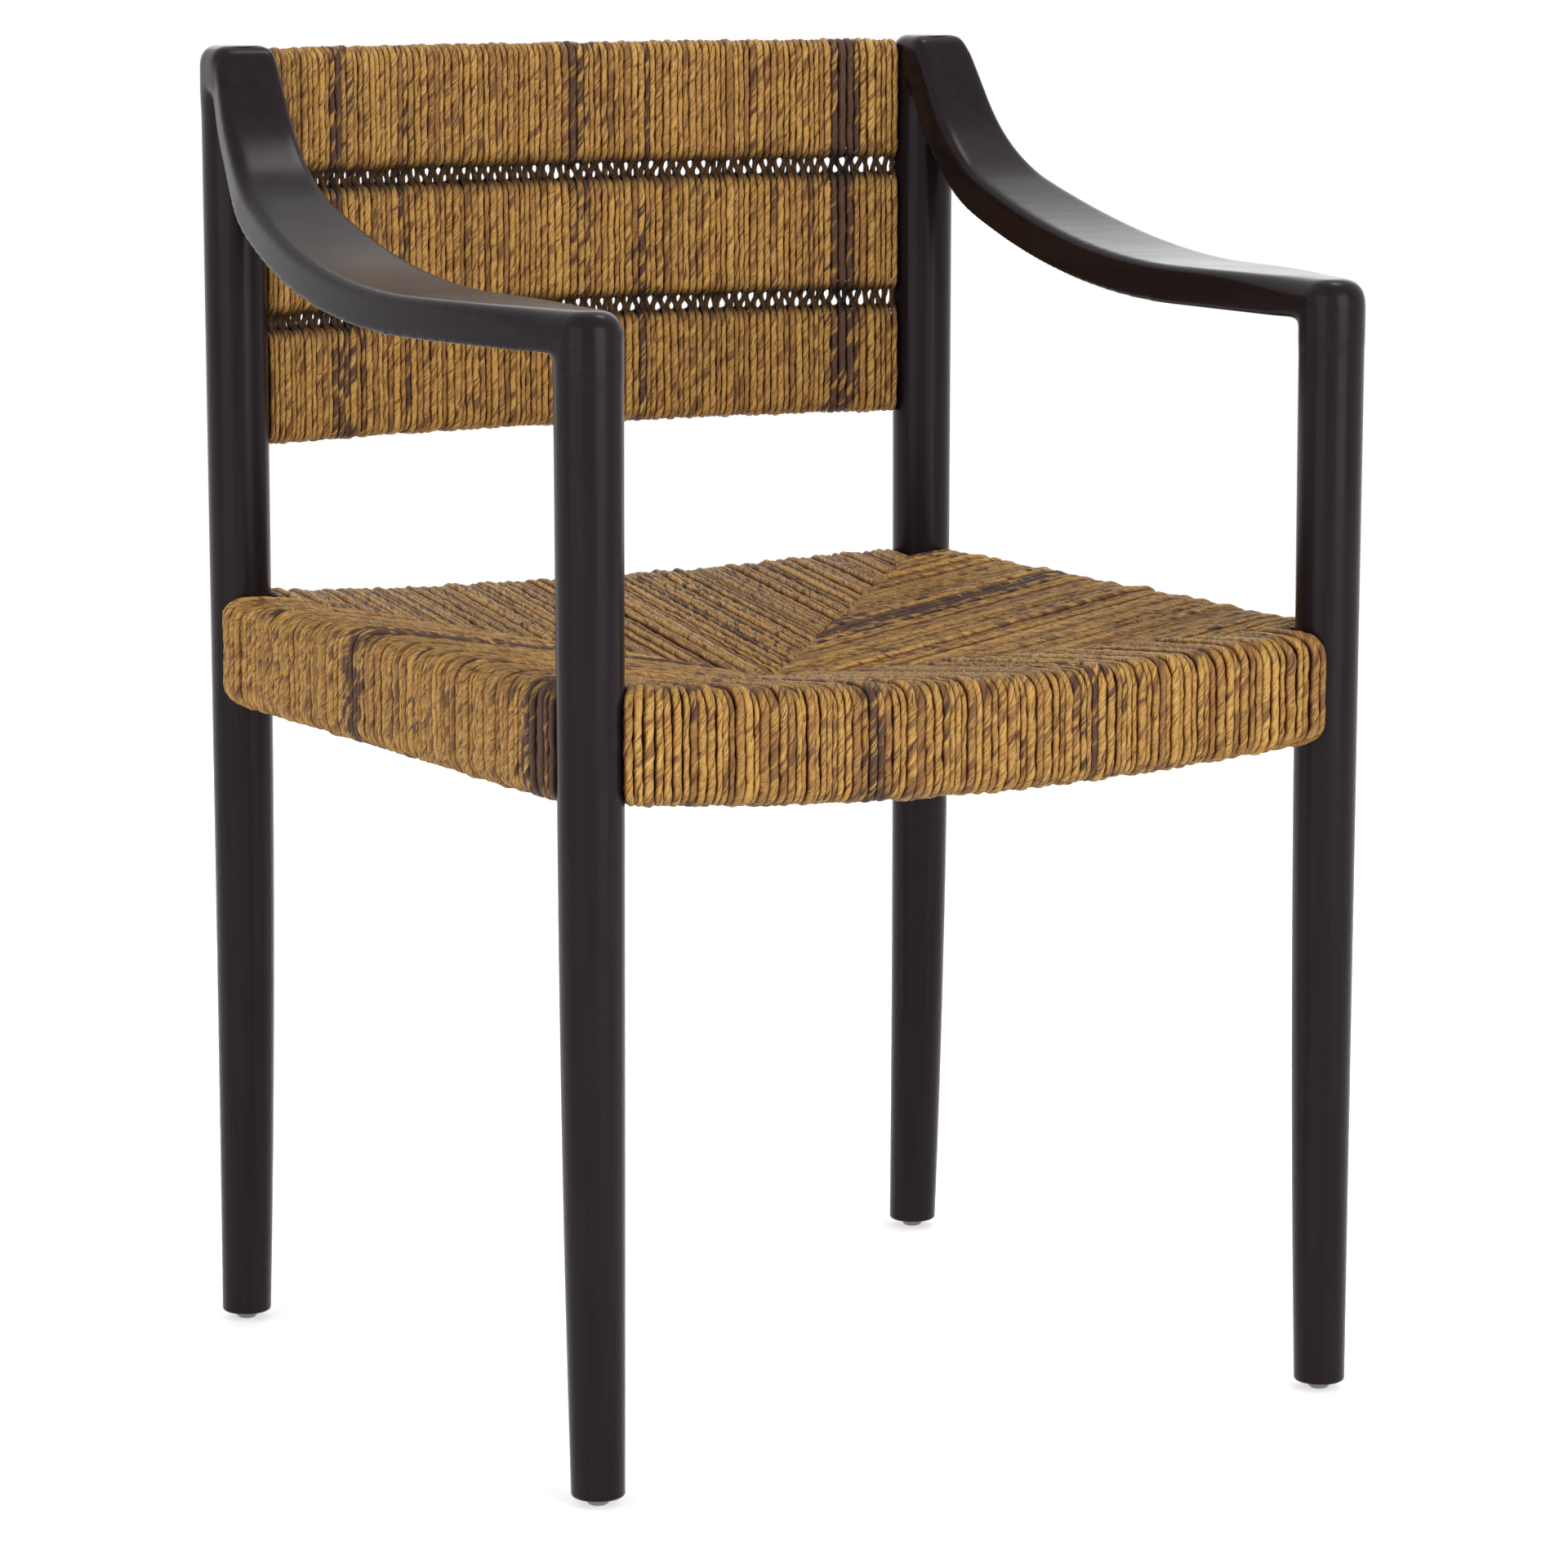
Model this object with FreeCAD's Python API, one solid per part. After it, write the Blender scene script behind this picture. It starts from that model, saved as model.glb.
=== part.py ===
import FreeCAD, Part
import math
import os

V = FreeCAD.Vector
os.makedirs("parts", exist_ok=True)

# Dining armchair: a dark turned-wood frame with a cord-woven seat and back.
# Millimetres. The front faces -Y, +X is the sitter's left, +Z is up.
# The origin is on the floor, under the middle of the chair's box.

# Frame
leg_spacing_x = 501.0
leg_spacing_y = 471.0
arm_height = 680.0
head_rise = 133.0
seat_height = 471.0
leg_top_diameter = 39.5
leg_seat_diameter = 38.0
leg_knee_diameter = 35.5
leg_foot_diameter = 31.0
leg_knee_height = 190.0
leg_straight_drop = 12.0
leg_foot_round = 2.0
head_round = 10.0
front_rake = 4.0
rear_rake = 8.0
glue_gap = 0.15
soft_gap = 0.3

# Glides under the feet
glide_height = 5.0
glide_diameter = 14.0
glide_flat_diameter = 8.0
glide_rim = 1.2
nail_diameter = 2.4
nail_head_diameter = 5.0
nail_head_height = 1.2
nail_head_depth = 1.5
nail_length = 20.0

# Cord and seat
cord_diameter = 5.5
rail_height = 57.4
rail_thickness = 18.4
rail_round = 7.0
wrap_round = 13.0
wrap_inner_round = 3.0
wrap_corner_gap = 2.0
front_rail_dip = 12.0
rear_rail_dip = 5.0
rail_tenon_diameter = 16.0
rail_tenon_reach = 10.0
rail_tenon_stagger = 13.0
seat_centre_drop = 41.0
seat_core = 2.0
dip_facets = 8

# Back
back_top_drop = 2.0
under_back_gap = 92.0
upper_band_share = 0.344
middle_band_share = 0.339
band_gap = 12.0
band_round = 9.0
back_bow = 35.0
slat_thickness = 10.0
slat_round = 3.0
slat_shoulder = 8.0
slat_tenon_thickness = 8.0
slat_tenon_reach = 4.0
lacing_layers = 2
lacing_round = 2.0

# Arms
arm_thickness = 24.0
arm_bulge = 27.0
arm_head_reach = 22.5
arm_bend_rise = 58.0
arm_sweep_angle = 23.0
arm_head_angle = 61.0
arm_bend_radius = 60.0
arm_edge_round = 5.0
front_dowel_diameter = 12.0
front_dowel_arm_depth = 15.0
front_dowel_leg_depth = 28.0
rear_dowel_diameter = 8.0
rear_dowel_length = 22.0
rear_dowel_drops = (32.0, 62.0)

# Worked-out sizes
cord_layer = cord_diameter + soft_gap
overall_height = arm_height + head_rise
leg_x = leg_spacing_x / 2
leg_radius = leg_seat_diameter / 2
post_radius = leg_top_diameter / 2
wrapped_height = rail_height + 2 * cord_layer
wrapped_thickness = rail_thickness + 2 * cord_layer
wrap_inset = wrapped_thickness / 2 - leg_radius
wrap_end = wrapped_thickness - leg_radius + wrap_corner_gap
rail_middle = seat_height - wrapped_height / 2
rail_bottom = seat_height - wrapped_height
band_thickness = slat_thickness + 2 * cord_layer
front_reach = post_radius
rear_reach = back_bow + band_thickness / 2
chair_depth = front_reach + leg_spacing_y + rear_reach
front_y = front_reach - chair_depth / 2
rear_y = front_y + leg_spacing_y
middle_y = (front_y + rear_y) / 2
sides = {"left": 1, "right": -1}
front_leg_top = arm_height - arm_thickness - glue_gap
ends = {"front": (front_y, front_leg_top, -front_rake), "rear": (rear_y, overall_height, rear_rake)}


def save(name, shape):
    shape.exportStep("parts/" + name + ".step")


def cylinder_between(start, finish, diameter):
    return Part.makeCylinder(diameter / 2, (finish - start).Length, start, finish - start)


def rounded_face(middle, across, up, width, height, outer_round, inner_round):
    """Rectangle with rounded corners; the outer corners lie on the +across side."""
    corners = ((1, 1, outer_round), (1, -1, outer_round), (-1, -1, inner_round), (-1, 1, inner_round))
    limit = 0.49 * min(width, height)
    edges = []
    last = None
    first = None
    for step, (side, level, wanted) in enumerate(corners):
        size = min(wanted, limit)
        corner = middle + across * (side * width / 2) + up * (level * height / 2)
        along_across = across * (-side * size)
        along_up = up * (-level * size)
        start, finish = (along_across, along_up) if step % 2 == 0 else (along_up, along_across)
        centre = corner + along_across + along_up
        bulge = centre + (corner - centre) / math.sqrt(2)
        if last is None:
            first = corner + start
        else:
            edges.append(Part.makeLine(last, corner + start))
        edges.append(Part.Arc(corner + start, bulge, corner + finish).toShape())
        last = corner + finish
    edges.append(Part.makeLine(last, first))
    return Part.Face(Part.Wire(edges))


def bow_radius(half_span, sag):
    return (half_span ** 2 + sag ** 2) / (2 * sag)


def bent_bar(section, centre, axis, radius, half_length):
    """Sweeps a section drawn at the middle of a bar round its bend, half_length each way."""
    angle = math.degrees(math.asin(half_length / radius))
    start = section.copy()
    start.rotate(centre, axis, -angle)
    return start.revolve(centre, axis, 2 * angle)


# Legs and posts: turned rounds, upright above the seat and tapered and raked below it
leg_bend_z = rail_bottom - leg_straight_drop


def upright(side, y, top, extra=0.0, past=0.0):
    """The leg's upright part, or the same round made larger and longer to cut what meets it."""
    swell = (leg_top_diameter - leg_seat_diameter) / 2 / (top - leg_bend_z)
    low = leg_bend_z - past
    high = top + past
    low_radius = leg_radius - swell * past + extra
    high_radius = post_radius + swell * past + extra
    return Part.makeCone(low_radius, high_radius, high - low, V(side * leg_x, y, low))


def raked_foot(side, y, rake):
    stations = (
        (glide_height, leg_foot_diameter, 1.0),
        (leg_knee_height, leg_knee_diameter, (leg_bend_z - leg_knee_height) / (leg_bend_z - glide_height)),
        (leg_bend_z, leg_seat_diameter, 0.0),
    )
    rings = []
    for z, diameter, share in stations:
        ring = Part.makeCircle(diameter / 2, V(side * leg_x, y + rake * share ** 2, z))
        rings.append(Part.Wire(ring))
    foot = Part.makeLoft(rings, True)
    sole = [edge for edge in foot.Edges if edge.BoundBox.ZMax < glide_height + 0.01]
    return foot.makeFillet(min(leg_foot_round, 0.2 * leg_foot_diameter), sole)


def turned_leg(side, y, top, rake):
    return upright(side, y, top).fuse(raked_foot(side, y, rake))


# Seat rails: rounded bars with staggered round tenons, so that two rails can share one leg
def cross_rail_bar(y, facing, dip, width, height, outer_round, inner_round, half_length):
    radius = bow_radius(leg_x, dip)
    middle = V(0, y, rail_middle - dip)
    section = rounded_face(middle, V(0, facing, 0), V(0, 0, 1), width, height, outer_round, inner_round)
    return bent_bar(section, middle + V(0, 0, radius), V(0, 1, 0), radius, half_length)


def side_rail_bar(x, facing, width, height, outer_round, inner_round, half_length):
    middle = V(x, middle_y - half_length, rail_middle)
    section = rounded_face(middle, V(facing, 0, 0), V(0, 0, 1), width, height, outer_round, inner_round)
    return section.extrude(V(0, 2 * half_length, 0))


def cross_rail_line(facing):
    y = front_y if facing < 0 else rear_y
    return y - facing * wrap_inset


def cross_rail_tenon(facing, side, fit=0.0):
    z = rail_middle + rail_tenon_stagger
    y = cross_rail_line(facing)
    start = V(side * (leg_x - leg_radius - rail_tenon_reach), y, z)
    finish = V(side * (leg_x + rail_tenon_reach + fit), y, z)
    return cylinder_between(start, finish, rail_tenon_diameter + 2 * fit)


def side_rail_tenon(side, end_y, fit=0.0):
    z = rail_middle - rail_tenon_stagger
    x = side * (leg_x - wrap_inset)
    outward = 1 if end_y > middle_y else -1
    start = V(x, end_y - outward * (leg_radius + rail_tenon_reach), z)
    finish = V(x, end_y + outward * (rail_tenon_reach + fit), z)
    return cylinder_between(start, finish, rail_tenon_diameter + 2 * fit)


# Back slats: bent boards with flat tenons into the posts, stacked down from the top. The three wrapped
# bands share the height that is left over the gap above the seat.
back_top = overall_height - back_top_drop
back_radius = bow_radius(leg_x, back_bow)
back_axis = V(0, rear_y + back_bow - back_radius, 0)
bands = {}
band_top = back_top
bands_height = back_top - seat_height - under_back_gap - 2 * band_gap
lower_band_share = 1 - upper_band_share - middle_band_share
band_shares = {"upper": upper_band_share, "middle": middle_band_share, "lower": lower_band_share}
for band, share in band_shares.items():
    height = share * bands_height
    bands[band] = (band_top - height / 2, height)
    band_top -= height + band_gap


def back_bar(z, thickness, height, corner_round, half_length):
    middle = V(0, rear_y + back_bow, z)
    section = rounded_face(middle, V(0, 1, 0), V(0, 0, 1), thickness, height, corner_round, corner_round)
    return bent_bar(section, back_axis, V(0, 0, 1), back_radius, half_length)


def slat_tenons(z, band_height, fit=0.0):
    height = band_height - 2 * cord_layer - 2 * slat_shoulder + 2 * fit
    thickness = slat_tenon_thickness + 2 * fit
    return back_bar(z, thickness, height, slat_round, leg_x + slat_tenon_reach + fit)


# Arms: a board cut to a side profile and a bowed plan, capping the front leg and coped to the post
arm_rear_end = rear_y - band_thickness / 2 - wrap_corner_gap / 2
sweep = math.radians(arm_sweep_angle)
steep = math.radians(arm_head_angle)
head_point = V(0, rear_y - arm_head_reach, overall_height)
bend_z = arm_height + arm_bend_rise
bend_point = V(0, head_point.y - (overall_height - bend_z) / math.tan(steep), bend_z)
sweep_point = V(0, bend_point.y - arm_bend_rise / math.tan(sweep), arm_height)
bend_tangent = arm_bend_radius * math.tan((steep - sweep) / 2)
sweep_tangent = (bend_point - sweep_point).Length - bend_tangent
sweep_radius = sweep_tangent / math.tan(sweep / 2)


def arm_direction(angle):
    return V(0, math.cos(angle), math.sin(angle))


def arm_below(angle):
    return V(0, math.sin(angle), -math.cos(angle))


def arm_curve(depth):
    """The arm's top line moved down by depth: level, long sweep, short bend and steep head."""
    sweep_start = sweep_point - arm_direction(0) * sweep_tangent
    sweep_centre = sweep_start - arm_below(0) * sweep_radius
    bend_start = bend_point - arm_direction(sweep) * bend_tangent
    bend_centre = bend_start - arm_below(sweep) * arm_bend_radius
    sweep_places = [sweep_centre + arm_below(sweep * part / 2) * (sweep_radius + depth) for part in range(3)]
    bend_turns = [sweep + (steep - sweep) * part / 2 for part in range(3)]
    bend_places = [bend_centre + arm_below(turn) * (arm_bend_radius + depth) for turn in bend_turns]
    start = V(0, front_y - 2 * post_radius, arm_height - depth)
    head = head_point + arm_below(steep) * depth
    finish = head + arm_direction(steep) * ((overall_height - head.z) / math.sin(steep))
    edges = [
        Part.makeLine(start, sweep_places[0]),
        Part.Arc(*sweep_places).toShape(),
        Part.Arc(*bend_places).toShape(),
        Part.makeLine(bend_places[2], finish),
    ]
    return start, finish, edges


def arm_plan(side):
    """Outline from above: round over the front leg, straight inside and bowed outside."""
    middle = V(side * leg_x, front_y, 0)
    length = arm_rear_end - front_y
    lean = 2 * math.atan(2 * arm_bulge / length)
    inner_front = middle - V(side * post_radius, 0, 0)
    nose = middle - V(0, post_radius, 0)
    outer_front = middle + V(side * math.cos(lean), -math.sin(lean), 0) * post_radius
    outer_rear = middle + V(side * post_radius, length, 0)
    inner_rear = middle + V(-side * post_radius, length, 0)
    chord = outer_rear - outer_front
    turn = lean - math.atan2(abs(chord.x), chord.y)
    outward = V(side * chord.y, -side * chord.x, 0).normalize()
    widest = (outer_front + outer_rear) / 2 + outward * (chord.Length / 2 * math.tan(turn / 2))
    return Part.Face(Part.Wire([
        Part.Arc(inner_front, nose, outer_front).toShape(),
        Part.Arc(outer_front, widest, outer_rear).toShape(),
        Part.makeLine(outer_rear, inner_rear),
        Part.makeLine(inner_rear, inner_front),
    ]))


def arm_board(side):
    top_start, top_end, top_edges = arm_curve(0)
    under_start, under_end, under_edges = arm_curve(arm_thickness)
    outline = top_edges + [Part.makeLine(top_end, under_end)]
    outline += list(reversed(under_edges)) + [Part.makeLine(under_start, top_start)]
    profile = Part.Face(Part.Wire(outline))
    room = post_radius + arm_bulge
    profile.translate(V(side * leg_x - 2 * room, 0, 0))
    plan = arm_plan(side).extrude(V(0, 0, overall_height + arm_thickness))
    return profile.extrude(V(4 * room, 0, 0)).common(plan)


def top_long_edges(board, side):
    """The long edges of the arm's upper surface, which run along it and round its nose."""
    picked = []
    for edge in board.Edges:
        middle = edge.valueAt((edge.FirstParameter + edge.LastParameter) / 2)
        inward = math.copysign(post_radius / 2, side * leg_x - middle.x)
        probe = V(middle.x + inward, middle.y + arm_thickness / 8, middle.z - arm_thickness / 8)
        along = edge.BoundBox.YLength > 1 and edge.BoundBox.ZMin < overall_height - 1
        if along and board.isInside(probe, 0.01, True):
            picked.append(edge)
    return picked


def head_trim(side):
    """What is rounded off the top of a post and of the arm end that it carries."""
    middle = V(side * leg_x, rear_y, 0)
    across = V(post_radius, 0, 0)
    ahead = V(0, -4 * post_radius, 0)
    outline = [
        Part.Arc(middle + across, middle + V(0, post_radius, 0), middle - across).toShape(),
        Part.makeLine(middle - across, middle - across + ahead),
        Part.makeLine(middle - across + ahead, middle + across + ahead),
        Part.makeLine(middle + across + ahead, middle + across),
    ]
    head = Part.Face(Part.Wire(outline)).extrude(V(0, 0, overall_height))
    rounded = []
    for edge in head.Edges:
        level = edge.BoundBox.ZMin > overall_height - 0.01
        front = edge.BoundBox.YMax < rear_y - 2 * post_radius
        if level and not front:
            rounded.append(edge)
    size = min(head_round, 0.45 * leg_top_diameter)
    head = head.makeFillet(size, rounded)
    block_corner = middle + V(-2 * post_radius, -3 * post_radius, overall_height - size)
    block = Part.makeBox(4 * post_radius, 5 * post_radius, 2 * size, block_corner)
    return block.cut(head)


def armrest(side):
    board = arm_board(side)
    board = board.makeFillet(arm_edge_round, top_long_edges(board, side))
    board = board.cut(upright(side, rear_y, overall_height, glue_gap, 2 * head_round))
    board = board.cut(head_trim(side)).cut(front_arm_dowel(side, glue_gap))
    for dowel in rear_arm_dowels(side, glue_gap):
        board = board.cut(dowel)
    return board


def front_arm_dowel(side, fit=0.0):
    joint = V(side * leg_x, front_y, arm_height - arm_thickness)
    start = joint - V(0, 0, front_dowel_leg_depth + fit)
    finish = joint + V(0, 0, front_dowel_arm_depth + fit)
    return cylinder_between(start, finish, front_dowel_diameter + 2 * fit)


def rear_arm_dowels(side, fit=0.0):
    half = rear_dowel_length / 2 + fit
    seat = rear_y - post_radius
    dowels = []
    for drop in rear_dowel_drops:
        start = V(side * leg_x, seat - half, overall_height - drop)
        dowels.append(cylinder_between(start, start + V(0, 2 * half, 0), rear_dowel_diameter + 2 * fit))
    return dowels


# Glides: domed plastic feet, each held by a nail whose head sits inside the glide
def glide_nail(x, y, fit=0.0):
    head_z = nail_head_depth
    head = Part.makeCylinder(nail_head_diameter / 2 + fit, nail_head_height + fit, V(x, y, head_z))
    shank = Part.makeCylinder(nail_diameter / 2 + fit, nail_length + fit, V(x, y, head_z))
    return head.fuse(shank).removeSplitter()


def foot_glide(x, y):
    edge = glide_diameter / 2
    flat = glide_flat_diameter / 2
    rim_z = glide_height - glide_rim
    dome = V(edge - (edge - flat) * 0.25, 0, rim_z * 0.35)
    outline = [
        Part.makeLine(V(0, 0, 0), V(flat, 0, 0)),
        Part.Arc(V(flat, 0, 0), dome, V(edge, 0, rim_z)).toShape(),
        Part.makeLine(V(edge, 0, rim_z), V(edge, 0, glide_height)),
        Part.makeLine(V(edge, 0, glide_height), V(0, 0, glide_height)),
        Part.makeLine(V(0, 0, glide_height), V(0, 0, 0)),
    ]
    dome_solid = Part.Face(Part.Wire(outline)).revolve(V(0, 0, 0), V(0, 0, 1), 360)
    dome_solid.translate(V(x, y, 0))
    return dome_solid.cut(glide_nail(x, y, glue_gap))


# Frame pieces: legs and posts with their mortises, then rails, slats and arms
nails = []
for side_name, side in sides.items():
    for end_name, (y, top, rake) in ends.items():
        facing = -1 if end_name == "front" else 1
        leg = turned_leg(side, y, top, rake)
        leg = leg.cut(cross_rail_tenon(facing, side, glue_gap)).cut(side_rail_tenon(side, y, glue_gap))
        leg = leg.cut(glide_nail(side * leg_x, y + rake, glue_gap))
        if end_name == "front":
            leg = leg.cut(front_arm_dowel(side, glue_gap))
            save("front_leg_" + side_name, leg)
        else:
            for z, height in bands.values():
                leg = leg.cut(slat_tenons(z, height, glue_gap))
            for dowel in rear_arm_dowels(side, glue_gap):
                leg = leg.cut(dowel)
            leg = leg.cut(head_trim(side))
            save("rear_post_" + side_name, leg)
        save("foot_glide_" + end_name + "_" + side_name, foot_glide(side * leg_x, y + rake))
        nails.append(glide_nail(side * leg_x, y + rake))
    save("armrest_" + side_name, armrest(side))
save("glide_nails", Part.Compound(nails))
save("front_arm_dowels", Part.Compound([front_arm_dowel(side) for side in sides.values()]))
save("rear_arm_dowels", Part.Compound([dowel for side in sides.values() for dowel in rear_arm_dowels(side)]))


def clear_of_legs(shape, gap):
    for side in sides.values():
        for y, top, rake in ends.values():
            shape = shape.cut(upright(side, y, top, gap, leg_straight_drop))
    return shape


def between_legs(shape):
    """Keeps what lies between the left and right legs."""
    half = leg_x - leg_radius - wrap_corner_gap / 2
    room = Part.makeBox(2 * half, 2 * chair_depth, 2 * overall_height, V(-half, -chair_depth, 0))
    return shape.common(room)


rail_body_half_x = leg_x - leg_radius / 2
rail_body_half_y = leg_spacing_y / 2 - leg_radius / 2
for end_name, facing, dip in (("front", -1, front_rail_dip), ("rear", 1, rear_rail_dip)):
    line = cross_rail_line(facing)
    rail = cross_rail_bar(
        line, facing, dip, rail_thickness, rail_height, rail_round, rail_round, rail_body_half_x)
    rail = clear_of_legs(rail, glue_gap)
    for side in sides.values():
        rail = rail.fuse(cross_rail_tenon(facing, side))
    save(end_name + "_seat_rail", rail.removeSplitter())
    wrap = cross_rail_bar(
        line, facing, dip, wrapped_thickness, wrapped_height, wrap_round, wrap_inner_round, leg_x)
    core = cross_rail_bar(
        line, facing, dip, rail_thickness + 2 * soft_gap, rail_height + 2 * soft_gap,
        rail_round, rail_round, leg_x + leg_radius)
    save(end_name + "_rail_wrap", between_legs(wrap.cut(core)))

for side_name, side in sides.items():
    line = side * (leg_x - wrap_inset)
    rail = side_rail_bar(line, side, rail_thickness, rail_height, rail_round, rail_round, rail_body_half_y)
    rail = clear_of_legs(rail, glue_gap)
    for y, top, rake in ends.values():
        rail = rail.fuse(side_rail_tenon(side, y))
    save(side_name + "_seat_rail", rail.removeSplitter())
    wrap = side_rail_bar(
        line, side, wrapped_thickness, wrapped_height, wrap_round, wrap_inner_round,
        leg_spacing_y / 2 - wrap_end)
    core = side_rail_bar(
        line, side, rail_thickness + 2 * soft_gap, rail_height + 2 * soft_gap,
        rail_round, rail_round, rail_body_half_y)
    save(side_name + "_rail_wrap", clear_of_legs(wrap.cut(core), soft_gap))

for band, (z, height) in bands.items():
    slat = back_bar(z, slat_thickness, height - 2 * cord_layer, slat_round, rail_body_half_x)
    slat = clear_of_legs(slat, glue_gap).fuse(slat_tenons(z, height)).removeSplitter()
    save(band + "_back_slat", slat)
    wrap = back_bar(z, band_thickness, height, band_round, leg_x - wrap_end)
    core = back_bar(
        z, slat_thickness + 2 * soft_gap, height - 2 * cord_diameter, slat_round, rail_body_half_x)
    save(band + "_back_wrap", clear_of_legs(wrap.cut(core), soft_gap))

for lacing, above in (("upper", "upper"), ("lower", "middle")):
    z, height = bands[above]
    strip = back_bar(
        z - (height + band_gap) / 2, lacing_layers * cord_diameter, band_gap - 2 * soft_gap, lacing_round,
        leg_x - post_radius - wrap_corner_gap)
    save(lacing + "_back_lacing", strip)


# Woven seat: over and under layers in four fields that meet on the diagonals, packed between
def seat_field(facing_x, facing_y, dip, edge_levels, centre_levels):
    """Wedge from one rail to the seat's middle, between two levels at the rail and two at the middle."""
    reach_x = leg_x + leg_radius - wrapped_thickness - soft_gap
    reach_y = leg_spacing_y / 2 + leg_radius - wrapped_thickness - soft_gap
    reach, half = (reach_x, reach_y) if facing_x else (reach_y, reach_x)
    out = V(facing_x, facing_y, 0)
    along = V(-facing_y, facing_x, 0)
    middle = V(0, middle_y, 0)
    facets = dip_facets if dip else 1
    uppers = []
    lowers = []
    for step in range(facets + 1):
        place = (half - soft_gap) * (2 * step / facets - 1)
        sag = dip * (1 - (place / half) ** 2) if dip else 0.0
        base = middle + out * reach + along * place
        uppers.append(base + V(0, 0, edge_levels[0] - sag))
        lowers.append(base + V(0, 0, edge_levels[1] - sag))
    tip = middle + out * soft_gap
    tip_upper = tip + V(0, 0, centre_levels[0])
    tip_lower = tip + V(0, 0, centre_levels[1])
    outlines = []
    for step in range(facets):
        outlines.append((uppers[step], uppers[step + 1], tip_upper))
        outlines.append((lowers[step], lowers[step + 1], tip_lower))
        outlines.append((uppers[step], uppers[step + 1], lowers[step + 1], lowers[step]))
    outlines.append((uppers[0], tip_upper, tip_lower, lowers[0]))
    outlines.append((uppers[-1], tip_upper, tip_lower, lowers[-1]))
    faces = [Part.Face(Part.makePolygon(list(points) + [points[0]])) for points in outlines]
    solid = Part.Solid(Part.Shell(faces))
    if solid.Volume < 0:
        solid.reverse()
    return solid


seat_centre = seat_height - seat_centre_drop
over_levels = ((seat_height, seat_height - cord_diameter), (seat_centre, seat_centre - cord_diameter))
packing_levels = (
    (seat_height - cord_layer, rail_bottom + cord_layer),
    (seat_centre - cord_layer, seat_centre - cord_layer - seat_core))
under_centre = packing_levels[1][1] - soft_gap
under_levels = ((rail_bottom + cord_diameter, rail_bottom), (under_centre, under_centre - cord_diameter))
fields = (
    ("front", 0, -1, front_rail_dip), ("rear", 0, 1, rear_rail_dip),
    ("left", 1, 0, 0.0), ("right", -1, 0, 0.0))
for field, facing_x, facing_y, dip in fields:
    layers = (("top_weave", over_levels), ("packing", packing_levels), ("under_weave", under_levels))
    for layer, levels in layers:
        wedge = seat_field(facing_x, facing_y, dip, *levels)
        save("seat_" + layer + "_" + field, clear_of_legs(wedge, soft_gap))
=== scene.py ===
"""Looks of a dining armchair: black-brown lacquered frame, seat and back of twisted plant-fibre cord.

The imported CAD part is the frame. Sizes are in metres in the same axes: the seat faces -Y, +Z is up.
"""

import math
import random

import bmesh
import bpy
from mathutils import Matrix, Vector


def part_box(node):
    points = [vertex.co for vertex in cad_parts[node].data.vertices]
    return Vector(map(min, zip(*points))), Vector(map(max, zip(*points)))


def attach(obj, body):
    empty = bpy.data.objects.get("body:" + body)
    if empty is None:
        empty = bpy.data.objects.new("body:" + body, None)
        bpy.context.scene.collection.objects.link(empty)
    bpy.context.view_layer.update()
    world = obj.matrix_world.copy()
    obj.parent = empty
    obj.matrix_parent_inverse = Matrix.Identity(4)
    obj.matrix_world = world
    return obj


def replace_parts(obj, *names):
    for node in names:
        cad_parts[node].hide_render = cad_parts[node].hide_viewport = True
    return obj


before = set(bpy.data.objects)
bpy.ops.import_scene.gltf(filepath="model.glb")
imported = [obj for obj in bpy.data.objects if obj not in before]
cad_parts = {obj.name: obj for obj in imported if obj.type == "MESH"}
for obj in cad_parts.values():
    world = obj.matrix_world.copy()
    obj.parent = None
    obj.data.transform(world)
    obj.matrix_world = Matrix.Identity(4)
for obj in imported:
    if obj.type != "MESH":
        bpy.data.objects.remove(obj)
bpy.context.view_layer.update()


# Legs and posts: turned hardwood under a satin black-brown lacquer. The CAD shapes are shown as they
# are; the finish has faint grain along the leg, small pores and an uneven gloss.


def linear(code):
    """Blender's linear colour for an sRGB hex code."""
    parts = [int(code[i:i + 2], 16) / 255 for i in (0, 2, 4)]
    return [p / 12.92 if p <= 0.04045 else ((p + 0.055) / 1.055) ** 2.4 for p in parts] + [1.0]


def node(tree, kind, inputs=None, stops=None, **settings):
    """Adds a node with its settings and colour stops, and joins or sets each named or numbered input."""
    made = tree.nodes.new(kind)
    for name, value in settings.items():
        setattr(made, name, value)
    for place, (at, code) in enumerate(stops or ()):
        elements = made.color_ramp.elements
        stop = elements[place] if place < 2 else elements.new(at)
        stop.position = at
        stop.color = linear(code)
    for name, value in (inputs or {}).items():
        if isinstance(value, bpy.types.NodeSocket):
            tree.links.new(value, made.inputs[name])
        else:
            made.inputs[name].default_value = value
    return made


def new_material(name):
    """An empty material's tree and its surface shader."""
    material = bpy.data.materials.new(name)
    material.use_nodes = True
    return material, material.node_tree, material.node_tree.nodes["Principled BSDF"]


grain_width = 0.006
grain_length = 0.12
gloss_cloud = 0.035
pore_width = 0.0014


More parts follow.
